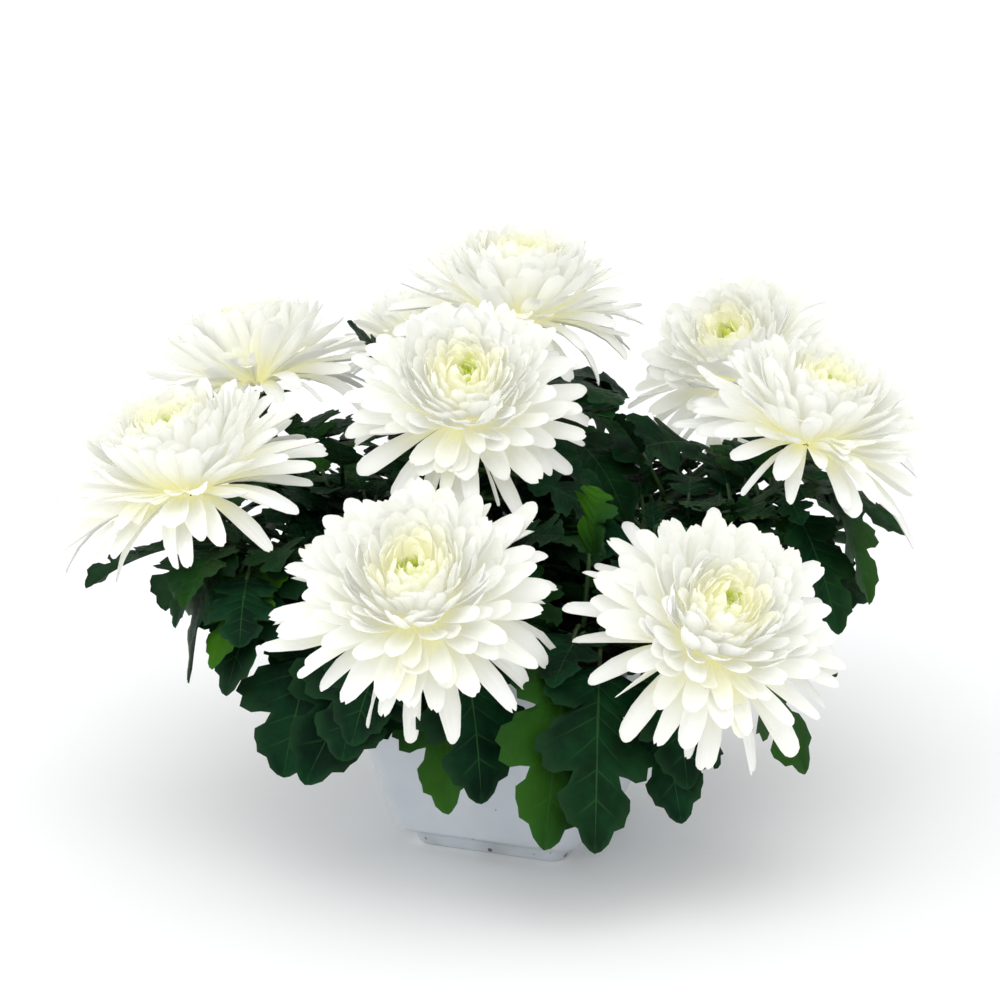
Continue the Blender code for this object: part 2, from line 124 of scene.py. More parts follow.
def thinBlade(columns, rows):
    # closed, with a sharp rim: x across from -1 to 1, y along from 0 to 1, z from -1 below to 1 above
    bm = bmesh.new()
    bmesh.ops.create_grid(bm, x_segments=columns, y_segments=rows, size=1)
    above = pullFaces(bm, bm.faces[:], bmesh.types.BMVert)
    bmesh.ops.translate(bm, verts=bm.verts, vec=(0, 1, -1))
    bmesh.ops.translate(bm, verts=above, vec=(0, 0, 2))
    bmesh.ops.scale(bm, verts=bm.verts, vec=(1, 0.5, 1))
    rim = [vert for vert in bm.verts if abs(vert.co.x) > 0.999 or abs(vert.co.y - 0.5) > 0.499]
    bmesh.ops.scale(bm, verts=rim, vec=(1, 1, 0))
    bmesh.ops.remove_doubles(bm, verts=rim, dist=0.0001)
    bmesh.ops.recalc_face_normals(bm, faces=bm.faces)
    bmesh.ops.reverse_faces(bm, faces=bm.faces)   # each use of the blade mirrors it
    for edge in bm.edges:
        edge.smooth = any(abs(vert.co.z) > 0.5 for vert in edge.verts)   # the rim stays sharp
    across = bm.loops.layers.uv.new("bladeUv")
    for face in bm.faces:
        for loop in face.loops:
            loop[across].uv = (loop.vert.co.x * 0.5 + 0.5, loop.vert.co.y)
    return asMesh("blade", bm)


# camera, light and floor

camera = {
    "turn": 20,        # degrees from the pot's front side
    "down": 14.5,
    "distance": 1.2,
    "aside": -0.00725,
    "height": 0.174,   # what the camera looks at
    "lens": 86.4,
}
studio = {
    "sun": 0.9,
    "sunSpread": 60,       # degrees, so that its shadows are soft
    "sunFrom": (0.25, -0.75, 1.3),
    "boxPower": 5,
    "boxSize": 1.4,
    "boxFrom": (-0.9, -1.2, 0.7),
    "skyLight": 0.9,
    "skyColour": (0.98, 0.99, 1),
    "floorShade": 0.96,
    "floorHalf": 40,
    "roughness": 0.8,      # of the floor
    "specular": 0.1,
}


def buildCamera():
    turn = math.radians(camera["turn"])
    down = math.radians(camera["down"])
    back = Vector((math.sin(turn) * math.cos(down), -math.cos(turn) * math.cos(down), math.sin(down)))
    target = Vector((math.cos(turn), math.sin(turn), 0)) * camera["aside"] + up * camera["height"]
    data = bpy.data.cameras.new("camera")
    data.lens = camera["lens"]
    data.sensor_width = 36
    bpy.context.scene.camera = addObject("camera", data, target + back * camera["distance"], -back)


def addLight(name, kind, power, spot):
    data = bpy.data.lights.new(name, kind)
    data.energy = power
    addObject(name, data, spot, up * camera["height"] - Vector(spot))
    return data


def buildStudio():
    sun = addLight("key", "SUN", studio["sun"], studio["sunFrom"])
    sun.angle = math.radians(studio["sunSpread"])
    box = addLight("softBox", "AREA", studio["boxPower"], studio["boxFrom"])
    box.size = studio["boxSize"]
    world = bpy.data.worlds.new("studio")
    bpy.context.scene.world = world
    world.use_nodes = True
    tree = world.node_tree
    tree.nodes.clear()
    path = addNode(tree, "LightPath", {})
    sky = {"Color": (*studio["skyColour"], 1), "Strength": studio["skyLight"]}
    felt = addNode(tree, "Background", sky)
    seen = addNode(tree, "Background", {"Color": (1, 1, 1, 1), "Strength": 1.0})
    ways = (path.outputs["Is Camera Ray"], felt.outputs[0], seen.outputs[0])
    blend = addNode(tree, "MixShader", dict(enumerate(ways)))
    addNode(tree, "OutputWorld", {"Surface": blend.outputs[0]})
    bpy.context.scene.view_settings.view_transform = "Standard"


def buildFloor():
    bm = bmesh.new()
    bmesh.ops.create_grid(bm, x_segments=1, y_segments=1, size=studio["floorHalf"])
    mesh = asMesh("floor", bm)
    surface, shader = newMaterial("paleFloor", studio)
    shader.inputs["Base Color"].default_value = (*[studio["floorShade"]] * 3, 1)
    mesh.materials.append(surface)
    addObject("floor", mesh)


# materials

def newMaterial(name, look):
    surface = bpy.data.materials.new(name)
    surface.use_nodes = True
    shader = surface.node_tree.nodes["Principled BSDF"]
    shader.inputs["Roughness"].default_value = look["roughness"]
    shader.inputs["Specular IOR Level"].default_value = look["specular"]
    return surface, shader


def newGroup(name, inputs, outputs):
    group = bpy.data.node_groups.new(name, "ShaderNodeTree")
    for label, kind, value in inputs:
        socket = group.interface.new_socket(label, in_out="INPUT", socket_type=kind)
        if value is not None:
            socket.default_value = value
    for label, kind in outputs:
        group.interface.new_socket(label, in_out="OUTPUT", socket_type=kind)
    return group, group.nodes.new("NodeGroupInput"), group.nodes.new("NodeGroupOutput")


def addNode(tree, kind, inputs, **settings):  # an input is a constant or another node's output
    node = tree.nodes.new("ShaderNode" + kind)
    for label, value in settings.items():
        setattr(node, label, value)
    for label, value in inputs.items():
        if isinstance(value, bpy.types.NodeSocket):
            tree.links.new(value, node.inputs[label])
        else:
            node.inputs[label].default_value = value
    return node


def mathNode(tree, operation, *values):
    return addNode(tree, "Math", dict(enumerate(values)), operation=operation).outputs[0]


def rangeNode(tree, value, fromLow, fromHigh, toLow=0.0, toHigh=1.0):
    inputs = {"Value": value, "From Min": fromLow, "From Max": fromHigh, "To Min": toLow, "To Max": toHigh}
    return addNode(tree, "MapRange", inputs, interpolation_type="SMOOTHSTEP").outputs["Result"]


def colourMix(tree, factor, *colours):
    inputs = {"Factor": factor}
    for number, colour in zip((6, 7), colours):   # the two colour sockets
        inputs[number] = (*colour, 1) if isinstance(colour, tuple) else colour
    return addNode(tree, "Mix", inputs, data_type="RGBA").outputs[2]


def attributeNode(tree, name):
    return addNode(tree, "Attribute", {}, attribute_name=name).outputs["Fac"]


def bumpNode(tree, height, shader, depth):  # depth: (distance in metres, strength)
    inputs = {"Height": height, "Distance": depth[0], "Strength": depth[1]}
    tree.links.new(addNode(tree, "Bump", inputs).outputs[0], shader.inputs["Normal"])


def bladeMap(tree):  # a blade's own map, whole and in parts
    whole = addNode(tree, "UVMap", {}, uv_map="bladeUv").outputs[0]
    return whole, addNode(tree, "SeparateXYZ", {0: whole}).outputs


def mottleGroup():  # slow change of shade over a surface, and a fine grain
    group, inside, outside = newGroup(
        "mottle",
        [("Scale", "NodeSocketFloat", 40.0), ("Grain Scale", "NodeSocketFloat", 400.0)],
        [("Shade", "NodeSocketFloat"), ("Grain", "NodeSocketFloat")],
    )
    where = addNode(group, "TexCoord", {}).outputs["Object"]
    for label, out in (("Scale", "Shade"), ("Grain Scale", "Grain")):
        grain = addNode(group, "TexNoise", {"Vector": where, "Scale": inside.outputs[label], "Detail": 3})
        group.links.new(grain.outputs["Fac"], outside.inputs[out])
    return group


def mottledMaterial(groups, name, look):  # patches of two shades, with the group that also gives the grain
    surface, shader = newMaterial(name, look)
    tree = surface.node_tree
    scales = {"Scale": look["patches"], "Grain Scale": look["grain"]}
    mottle = addNode(tree, "Group", scales, node_tree=groups["mottle"])
    shade = rangeNode(tree, mottle.outputs["Shade"], *look["patchEdge"])
    return surface, shader, mottle, colourMix(tree, shade, *look["shades"])


petalFinish = {
    "white": (0.85, 0.855, 0.82),
    "cream": (0.85, 0.83, 0.48),
    "green": (0.56, 0.64, 0.03),
    "paintedLight": 0.13,          # painted light: an emission that stands for the light that comes through the petals above
    "paintedLightWhite": (0.78, 0.79, 0.77),
    "paintedLightCream": (1.70, 1.67, 1.10),   # painted light, brighter where the petals are creamy: deep between the petals most of the light comes through them
    "roughness": 0.6,
    "specular": 0.15,
    "folds": 3,
    "foldEnd": (0.95, 0.6),
    "foldDepth": (0.0002, 0.35),
    "inside": 0.35,        # share of the light that travels inside a petal, how far, and its tint
    "insideReach": 0.002,
    "insideTint": (1.0, 1.0, 0.85),
}


def petalMaterial():
    look = petalFinish
    surface, shader = newMaterial("petals", look)
    tree = surface.node_tree
    creamAndPaintedLightMask = attributeNode(tree, "cream")
    greenAndPaintedLightMask = attributeNode(tree, "green")
    # the emission colour is painted light, mixed by the same cream and green masks as the petals' own
    # colour
    paintedLightSockets = ("Emission Color", "paintedLightWhite", "paintedLightCream")
    for label, white, cream in (("Base Color", "white", "cream"), paintedLightSockets):
        creamy = colourMix(tree, creamAndPaintedLightMask, look[white], look[cream])
        tree.links.new(colourMix(tree, greenAndPaintedLightMask, creamy, look["green"]), shader.inputs[label])
    _, parts = bladeMap(tree)
    folds = mathNode(tree, "SINE", mathNode(tree, "MULTIPLY", parts["X"], math.tau * look["folds"]))
    fade = rangeNode(tree, parts["Y"], *look["foldEnd"])
    bumpNode(tree, mathNode(tree, "MULTIPLY", folds, fade), shader, look["foldDepth"])
    # painted light: the petals glow a little, though they are no lamp
    shader.inputs["Emission Strength"].default_value = look["paintedLight"]
    shader.inputs["Subsurface Weight"].default_value = look["inside"]
    shader.inputs["Subsurface Radius"].default_value = look["insideTint"]
    shader.inputs["Subsurface Scale"].default_value = look["insideReach"]
    return surface


leafFinish = {
    "shades": ((0.0012, 0.013, 0.005), (0.0025, 0.032, 0.010)),
    "patches": 60,
    "patchEdge": (0.35, 0.7),
    "grain": 500,
    "young": (0.035, 0.13, 0.006),
    "vein": (0.030, 0.095, 0.025),
    "under": (0.020, 0.060, 0.022),
    "roughness": 0.5,
    "roughnessVary": (0.3, 0.7, 0.45, 0.62),   # grain from and to, roughness from and to
    "specular": 0.06,
    "midribWidth": 0.018,
    "veinRows": (0.10, 0.19, 0.31, 0.43, 0.52, 0.62, 0.76, 0.86),   # where side veins leave the midrib
    "veinWidth": 0.007,
    "veinFade": (0.42, 0.05, 0.05, 0.5),       # across from and to, strength from and to
    "veinShare": 0.6,
    "quilt": 0.045,        # how far the blade swells beside a side vein
    "netScale": 26,
    "netWidth": 0.12,
    "netShare": 0.2,
    "relief": (0.0005, 0.5),
}


def veinGroup():  # masks of a leaf's veins on its own map: X across from edge to edge, Y along the outline
    look = leafFinish
    masks = [(label, "NodeSocketFloat") for label in ("Veins", "Relief", "Net")]
    group, _, outside = newGroup("leafVeins", [], masks)
    uv, parts = bladeMap(group)
    across = mathNode(group, "ABSOLUTE", mathNode(group, "SUBTRACT", parts["X"], 0.5))
    veins = rangeNode(group, across, look["midribWidth"], look["midribWidth"] * 0.3)
    quilt = None
    for row in look["veinRows"]:
        away = mathNode(group, "ABSOLUTE", mathNode(group, "SUBTRACT", parts["Y"], row))
        line = rangeNode(group, away, look["veinWidth"], look["veinWidth"] * 0.2)
        fading = mathNode(group, "MULTIPLY", line, rangeNode(group, across, *look["veinFade"]))
        veins = mathNode(group, "MAXIMUM", veins, fading)
        swell = rangeNode(group, away, 0.0, look["quilt"])
        quilt = swell if quilt is None else mathNode(group, "MINIMUM", quilt, swell)
    cells = {"Vector": uv, "Scale": look["netScale"]}
    net = addNode(group, "TexVoronoi", cells, feature="DISTANCE_TO_EDGE")
    lines = rangeNode(group, net.outputs["Distance"], 0.0, look["netWidth"])
    for label, mask in (("Veins", veins), ("Relief", quilt), ("Net", lines)):
        group.links.new(mask, outside.inputs[label])
    return group


def leafMaterial(groups):
    look = leafFinish
    surface, shader, mottle, green = mottledMaterial(groups, "leaves", look)
    tree = surface.node_tree
    veins = addNode(tree, "Group", {}, node_tree=groups["veins"])
    sided = colourMix(tree, attributeNode(tree, "under"), green, look["under"])
    fresh = colourMix(tree, attributeNode(tree, "young"), sided, look["young"])
    paler = mathNode(tree, "MULTIPLY", veins.outputs["Veins"], look["veinShare"])
    tree.links.new(colourMix(tree, paler, fresh, look["vein"]), shader.inputs["Base Color"])
    rough = rangeNode(tree, mottle.outputs["Grain"], *look["roughnessVary"])
    tree.links.new(rough, shader.inputs["Roughness"])
    net = mathNode(tree, "MULTIPLY", veins.outputs["Net"], look["netShare"])
    bumpNode(tree, mathNode(tree, "ADD", veins.outputs["Relief"], net), shader, look["relief"])
    return surface


stemFinish = {
    "shades": ((0.012, 0.040, 0.010), (0.030, 0.070, 0.018)),
    "patches": 70,
    "patchEdge": (0.35, 0.65),
    "grain": 900,
    "wood": (0.05, 0.038, 0.02),
    "roughness": 0.5,
    "specular": 0.3,
    "relief": (0.0003, 0.6),
}


def stemMaterial(groups):
    look = stemFinish
    surface, shader, mottle, green = mottledMaterial(groups, "stems", look)
    tree = surface.node_tree
    woody = colourMix(tree, attributeNode(tree, "wood"), green, look["wood"])
    tree.links.new(woody, shader.inputs["Base Color"])
    bumpNode(tree, mottle.outputs["Grain"], shader, look["relief"])
    return surface


potFinish = {
    "shades": ((0.60, 0.64, 0.68), (0.53, 0.57, 0.62)),
    "patches": 22,
    "patchEdge": (0.35, 0.7),
    "grain": 500,
    "foot": (0.016, 0.004),        # below the first height marks begin, at the second they are full
    "speck": (0.10, 0.10, 0.09),
    "speckScale": 210,
    "speckSize": (0.09, 0.22),     # on the wall, and what the foot adds
    "speckShare": (0.06, 0.3),
    "grime": (0.30, 0.30, 0.27),
    "grimeEdge": (0.45, 0.7),
    "grimeShare": 0.5,
    "roughness": 0.35,
    "roughnessVary": (0.3, 0.7, 0.3, 0.42),
    "specular": 0.5,
    "relief": (0.0002, 0.25),
}


def potMaterial(groups):
    look = potFinish
    surface, shader, mottle, glaze = mottledMaterial(groups, "glaze", look)
    tree = surface.node_tree
    where = addNode(tree, "TexCoord", {}).outputs["Object"]
    cells = addNode(tree, "TexVoronoi", {"Vector": where, "Scale": look["speckScale"]})
    height = addNode(tree, "SeparateXYZ", {0: where})
    low = rangeNode(tree, height.outputs["Z"], *look["foot"])
    size, share = [
        mathNode(tree, "ADD", mathNode(tree, "MULTIPLY", low, more), least)
        for least, more in (look["speckSize"], look["speckShare"])
    ]
    chosen = addNode(tree, "SeparateColor", {0: cells.outputs["Color"]})
    near = mathNode(tree, "LESS_THAN", cells.outputs["Distance"], size)
    speck = mathNode(tree, "MULTIPLY", near, mathNode(tree, "LESS_THAN", chosen.outputs[0], share))
    stain = rangeNode(tree, mottle.outputs["Shade"], *look["grimeEdge"])
    dirty = mathNode(tree, "MULTIPLY", stain, mathNode(tree, "MULTIPLY", low, look["grimeShare"]))
    glaze = colourMix(tree, dirty, glaze, look["grime"])
    tree.links.new(colourMix(tree, speck, glaze, look["speck"]), shader.inputs["Base Color"])
    rough = rangeNode(tree, mottle.outputs["Shade"], *look["roughnessVary"])
    tree.links.new(rough, shader.inputs["Roughness"])
    bumpNode(tree, mottle.outputs["Grain"], shader, look["relief"])
    return surface


soilFinish = {
    "shades": ((0.012, 0.008, 0.005), (0.050, 0.033, 0.020)),
    "patches": 150,
    "patchEdge": (0.3, 0.7),
    "grain": 900,
    "roughness": 0.95,
    "specular": 0.15,
    "relief": (0.001, 1.0),
}


def soilMaterial(groups):
    surface, shader, mottle, peat = mottledMaterial(groups, "peat", soilFinish)
    tree = surface.node_tree
    tree.links.new(peat, shader.inputs["Base Color"])
    bumpNode(tree, mottle.outputs["Grain"], shader, soilFinish["relief"])
    return surface


# blooms

blooms = {   # cutting, centre in mm, radius in mm, lean and its heading in degrees, as in the solids
    "left_front": ("left", (-146, -75, 194), 66, 18, 235),
    "left_back": ("left", (-167, 50, 222), 62, 12, 165),
    "back_top": ("back", (-36, 109, 255), 65, 8, -50),
    "back_small": ("back", (-118, 170, 219), 50, 22, 140),
    "centre": ("front", (-23, -8, 225), 60, 42, -70),
    "front_left": ("front", (-7, -114, 154), 65, 37, -75),
    "front_right": ("front_right", (121, -67, 140), 62, 44, -50),
    "right": ("right", (136, 66, 210), 62, 22, -25),
    "right_back": ("right", (68, 179, 217), 60, 38, -105),
}

bloomShape = {
    "radius": 65,          # of the bloom that the rule below describes
    "middle": 16,
    "receptacle": 8,
    "length": [(0, 65), (0.15, 62), (0.35, 56), (0.6, 51), (0.8, 45), (0.92, 40), (1, 33)],
    "rootHeight": [(0, 4), (1, 8)],
    "rootRise": [(0, 10), (0.15, 18), (0.35, 26), (0.6, 36), (0.8, 49), (0.92, 62), (1, 76)],
    "tipRise": [(0, -46), (0.15, -12), (0.35, 48), (0.6, 84), (0.8, 96), (0.92, 101), (1, 102)],
    "petals": 250,
    "thinning": 0.78,      # under 1 there are fewer petals in the outer rows
    "goldenAngle": 2.39996,
    "columns": 4,
    "rows": 8,
    "halfWidth": [(0, 4.2), (0.12, 5.2), (0.3, 6.4), (0.6, 6.4), (0.8, 5.0), (0.92, 3.2), (1, 1.7)],
    "outline": [(0, 0.3), (0.3, 0.5), (0.6, 0.82), (0.85, 1), (1, 0.97)],   # of a blunt petal
    "taper": [(0, 0.0), (0.3, 0.12), (0.6, 0.16), (0.85, -0.06), (1, -0.3)],     # added for one that tapers
    "tipRows": [(0.57, 0.80), (1, 0.47)],   # (share of the round tip, width) of the last two rows
    "tipLongest": 0.35,
    "tipRound": 0.15,
    "hookStart": 0.55,
    "cup": [(0, 1.0), (0.4, 0.6), (0.8, 0.36), (1, 0.26)],
    "keel": 0.03,
    "waves": 7,
    "thickness": 0.3,
    "thinTip": 0.5,
    "draws": {   # how petals of one bloom differ; a pair is the spread of all, and what the outer rows add
        "outerEnd": (0.1, 0.35),
        "place": 0.02,
        "heading": 0.08,
        "stretch": (0.94, 1.06),
        "outerStretch": (-0.03, 0.07),
        "curl": (7, 9),
        "hook": 12,
        "twist": (0.15, 0.35),
        "swerve": (0.04, 0.05),
        "width": (0.85, 1.15),
        "outerWidth": 0.15,
        "thinOnes": 0.14,
        "thin": 0.5,
        "thinTwist": 3,
        "tip": (0.9, 1.5),
        "cup": (0.5, 1.2),
        "ripple": 0.07,
        "notchPlaces": (None, None, None, None, -0.5, 0.0, 0.0, 0.5),
        "notchDepth": (0.15, 0.4),
        "taper": (0.2, 0.45, 0.3),     # mean, what the outer rows add, spread
    },
    "parting": {   # where the petals stand open at the front and show their cream roots
        "drop": -0.6,
        "aim": 0.3,
        "place": 0.40,
        "depth": (0.03, 0.11),
        "breadth": (0.25, 0.40),
        "curl": 45,
        "narrow": 0.25,
    },
    "tint": {
        "warm": 0.10,
        "root": 0.8,
        "rootEnd": 0.65,
        "crownStart": (0.6, 0.93),
        "crown": (0.9, 0.55),      # at its roots, and how much less at its tips
        "parting": 0.9,
        "eyeStart": (0.91, 0.96),
        "eyeFade": 0.2,
    },
}


def bloomPose(centre, radius, lean, heading):
    across = math.sin(math.radians(lean))
    turn = math.radians(heading)
    axis = Vector((across * math.cos(turn), across * math.sin(turn), math.cos(math.radians(lean))))
    scale = radius / bloomShape["radius"]
    base = (Vector(centre) - axis * bloomShape["middle"] * scale) * mm
    facing = axis.to_track_quat("Z", "Y").to_matrix().to_4x4()
    return axis, Matrix.Translation(base) @ facing @ Matrix.Scale(scale, 4)


def petalRows(place, stretch, curl, hook, tip, taper):
    # rows along a petal, in bloom space: (share, width, out, height, angle)
    look = bloomShape
    length = mix(look["length"], place) * stretch
    cap = min(tip / length, look["tipLongest"])
    body = look["rows"] - len(look["tipRows"])
    rows = []
    for row in range(body + 1):
        width = mix(look["outline"], row / body) + taper * mix(look["taper"], row / body)
        rows.append(((1 - cap) * row / body, width))
    rows += [(1 - cap + cap * share, width * end) for share, end in look["tipRows"]]
    rise = math.radians(mix(look["rootRise"], place))
    bend = math.radians(mix(look["tipRise"], place) + curl) - rise
    out = look["receptacle"] * (1 - place)
    height = mix(look["rootHeight"], place)
    before = 0.0
    line = []
    for share, width in rows:
        middle = (before + share) / 2
        angle = rise + bend * middle + hook * ease(look["hookStart"], 1, middle)
        out += length * (share - before) * math.cos(angle)
        height += length * (share - before) * math.sin(angle)
        angle = rise + bend * share + hook * ease(look["hookStart"], 1, share)
        line.append((share, width, out, height, angle))
        before = share
    return length, line


def spread(draw, pair, outer):
    return draw.gauss(0, pair[0]) + outer * draw.gauss(0, pair[1])


def bendPetal(verts, pose, place, heading, draw, parting):
    look = bloomShape
    vary = look["draws"]
    gap = look["parting"]
    outer = 1 - ease(*vary["outerEnd"], place)
    stretch = draw.uniform(*vary["stretch"]) + outer * draw.gauss(*vary["outerStretch"])
    curl = spread(draw, vary["curl"], outer) - parting * gap["curl"]
    hook = math.radians(draw.gauss(0, vary["hook"]))
    twist = spread(draw, vary["twist"], outer)
    swerve = spread(draw, vary["swerve"], outer)
    widest = vary["width"][1] + vary["outerWidth"] * outer
    half = mix(look["halfWidth"], place) * draw.uniform(vary["width"][0], widest)
    half *= 1 - gap["narrow"] * parting
    if draw.random() < vary["thinOnes"] * outer:   # a few are thin and twisted
        half *= vary["thin"]
        twist *= vary["thinTwist"]
    tip = half * draw.uniform(*vary["tip"])
    cup = draw.uniform(*vary["cup"])
    phase = draw.uniform(0, math.tau)
    ripple = draw.uniform(0.0, vary["ripple"])
    notched = draw.choice(vary["notchPlaces"])
    notch = draw.uniform(*vary["notchDepth"]) * half
    usual, more, other = vary["taper"]
    taper = min(1, max(0, draw.gauss(usual + more * outer, other)))
    length, line = petalRows(place, stretch, curl, hook, tip, taper)
    outward = outwardAt(heading)
    level = up.cross(outward)
    sections = []
    for share, width, out, height, angle in line:
        ahead = outward * math.cos(angle) + up * math.sin(angle)
        turn = Matrix.Rotation(twist * share, 3, ahead)
        above = turn @ (up * math.cos(angle) - outward * math.sin(angle))
        side = turn @ level
        middle = outward * out + up * height + level * swerve * length * share * share
        sections.append((share, half * width, middle, ahead, above, side))
    last = look["rows"]
    for vert in verts:
        across, along, lift = vert.co
        row = round(along * last)
        share, width, middle, ahead, above, side = sections[row]
        back = 0.0
        if row == last:
            back = look["tipRound"] * tip * across * across
            if notched is not None and abs(across - notched) < 0.1:
                back += notch
        rise = width * cup * mix(look["cup"], share) * across * across
        rise += width * ripple * math.sin(look["waves"] * share + phase) * across * share
        rise += width * look["keel"] * math.cos(math.tau * across)
        rise += lift * look["thickness"] * (1 - look["thinTip"] * share)
        vert.co = pose @ ((middle + side * across * width - ahead * back + above * rise) * mm)


def buildBloom(name, number, blade, surface):
    look = bloomShape
    vary = look["draws"]
    gap = look["parting"]
    tint = look["tint"]
    draw = random.Random(f"bloom {number}")
    axis, pose = bloomPose(*blooms[name][1:])
    bm = bmesh.new()
    cream = bm.verts.layers.float.new("cream")
    green = bm.verts.layers.float.new("green")
    turn = math.radians(camera["turn"])
    front = pose.to_3x3().inverted() @ Vector((math.sin(turn), -math.cos(turn), gap["drop"]))
    openHeading = math.atan2(front.y, front.x) + draw.uniform(-gap["aim"], gap["aim"])
    for k in range(look["petals"]):
        share = (k + 0.5) / look["petals"]
        shift = draw.uniform(-vary["place"], vary["place"])
        place = min(max(share ** look["thinning"] + shift, 0), 1)
        heading = k * look["goldenAngle"] + draw.gauss(0, vary["heading"])
        off = abs((heading - openHeading + math.pi) % math.tau - math.pi)
        parting = (1 - ease(*gap["breadth"], off)) * (1 - ease(*gap["depth"], abs(place - gap["place"])))
        verts = addCopy(bm, blade)
        alongs = [vert.co.y for vert in verts]
        bendPetal(verts, pose, place, heading, draw, parting)
        warm = draw.uniform(0.0, tint["warm"])
        for vert, along in zip(verts, alongs):
            rooted = (1 - ease(0.0, tint["rootEnd"], along)) * tint["root"]
            crown = ease(*tint["crownStart"], place) * (tint["crown"][0] - tint["crown"][1] * along)
            # the cream mask is the petals' own cream colour, and also where their painted light is brighter
            vert[cream] = min(1, max(rooted, crown, parting * tint["parting"] * (1 - along)) + warm)
            vert[green] = ease(*tint["eyeStart"], place) * (1 - tint["eyeFade"] * along)
    addPiece("petals_" + name, bm, surface, "bloom_" + name)


def buildBlooms(surface):
    blade = thinBlade(bloomShape["columns"], bloomShape["rows"])
    for number, name in enumerate(blooms):
        buildBloom(name, number, blade, surface)
    print("blooms built:", len(blooms))


# stems

cuttings = {   # where each cutting stands in the soil, mm
    "left": (-40, -8),
    "back": (-14, 40),
    "right": (42, 20),
    "front": (-12, -34),
    "front_right": (40, -34),
}

stemShape = {
    "stubRadius": 4.5,
    "stubTop": 113,
    "stubFoot": 92,        # a little under the soil's surface
    "stubSteps": 4,
    "stubTaper": 0.1,
    "stubVary": 0.05,
    "woodTop": (0.10, 0.135),   # metres over the floor, where wood turns to green stem
    "radius": (3.4, 2.5),
    "root": 6,
    "rise": 0.35,
    "lean": 0.35,
    "seat": 0.32,
    "gap": 0.3,
    "cupRadius": 9.5,
    "cupHeight": 8,
    "cupSteps": 16,
    "cup": [
        (0.0, -1.4), (0.28, -1.35), (0.55, -0.95), (0.86, -0.55),
        (1.0, -0.12), (0.9, -0.04), (0.0, -0.02),
    ],
    "sides": 12,
    "steps": 28,
    "chords": 6,           # straight runs of the branch in the solids
    "knots": 9,            # leaf joints that swell the stem
    "knotSwell": 0.14,
    "knotSharp": 6,
    "ridge": 0.06,
    "bracts": {   # small green leaves that hold the bloom from below
        "count": 11,
        "rings": [(8, 1.25, 0.72), (11, 0.70, 0.82)],   # length in mm, rise, share of the way out
        "grid": (2, 4),
        "vary": 0.1,
        "half": 2.3,
        "taper": (2.5, 0.6, 0.7),   # sharpness of the tip, width at the root, what the tip adds
        "drop": 0.55,
        "bend": 0.5,
        "cup": 0.5,
        "thickness": 0.3,
    },
}


def branchCurve(name):
    look = stemShape
    cutting, centre, radius, lean, heading = blooms[name]
    axis, pose = bloomPose(centre, radius, lean, heading)
    top = pose.translation - axis * ((look["cupHeight"] + look["gap"]) * mm)
    x, y = cuttings[cutting]
    start = Vector((x * mm, y * mm, (look["stubTop"] - look["root"]) * mm))
    reach = (top - start).length
    rise = up + look["lean"] * (top - start).normalized()
    return [start, start + look["rise"] * reach * rise, top - look["seat"] * reach * axis, top]


def branchPoint(curve, share):
    step = share * stemShape["chords"]
    low = int(step)
    ends = [bezier(curve, number / stemShape["chords"]) for number in (low, low + 1)]
    return ends[0].lerp(ends[1], step - low)


def addTube(bm, path, wood):  # path: (point, heading, radius); closed at both ends
    sides = stemShape["sides"]
    made = bmesh.ops.create_circle(bm, cap_ends=True, segments=sides, radius=1)["verts"]
    face = made[0].link_faces[0]
    flat = [vert.co.copy() for vert in face.verts]
    for number, (point, heading, radius) in enumerate(path):
        if number:
            face = pullEnd(bm, face, number > 1)
        turn = heading.to_track_quat("Z", "Y").to_matrix()
        for k, (vert, corner) in enumerate(zip(face.verts, flat)):
            ridge = 1 + stemShape["ridge"] * math.cos(k * math.pi)
            vert.co = point + turn @ corner * radius * ridge
            vert[wood] = 1 - ease(*stemShape["woodTop"], vert.co.z)


def cupBody():  # turned round the bloom's axis, with its top at the origin
    look = stemShape
    bm = bmesh.new()
    radius = look["cupRadius"] * mm
    height = look["cupHeight"] * mm
    corners = [bm.verts.new((radius * out, 0, height * low)) for out, low in look["cup"]]
    edges = [bm.edges.new(pair) for pair in zip(corners, corners[1:])]
    bmesh.ops.spin(
        bm, geom=corners + edges, cent=(0, 0, 0), axis=(0, 0, 1), angle=math.tau,
        steps=look["cupSteps"], use_merge=True,
    )
    bmesh.ops.remove_doubles(bm, verts=bm.verts, dist=0.01 * mm)
    bmesh.ops.recalc_face_normals(bm, faces=bm.faces)
    return asMesh("cup", bm)


def addCup(bm, body, blade, pose, axis, draw):
    look = stemShape["bracts"]
    facing = Matrix.Translation(pose.translation) @ axis.to_track_quat("Z", "Y").to_matrix().to_4x4()
    radius = stemShape["cupRadius"] * mm
    height = stemShape["cupHeight"] * mm
    sharp, narrow, more = look["taper"]
    bmesh.ops.transform(bm, matrix=facing, verts=addCopy(bm, body))
    for ring, (length, start, place) in enumerate(look["rings"]):
        for k in range(look["count"]):
            turn = k + 0.5 * ring + draw.uniform(-look["vary"], look["vary"])
            outward = outwardAt(math.tau * turn / look["count"])
            level = up.cross(outward)
            for vert in addCopy(bm, blade):
                across, along, lift = vert.co
                angle = start - look["bend"] * along
                out = radius * place + length * mm * along * math.cos(angle)
                rise = -height * look["drop"] + length * mm * along * math.sin(angle)
                width = look["half"] * mm * (1 - along ** sharp) * (narrow + more * along)
                normal = up * math.cos(angle) - outward * math.sin(angle)
                spot = outward * out + up * rise + level * across * width
                spot += normal * (look["cup"] * width * across * across + lift * look["thickness"] * mm)
                vert.co = facing @ spot


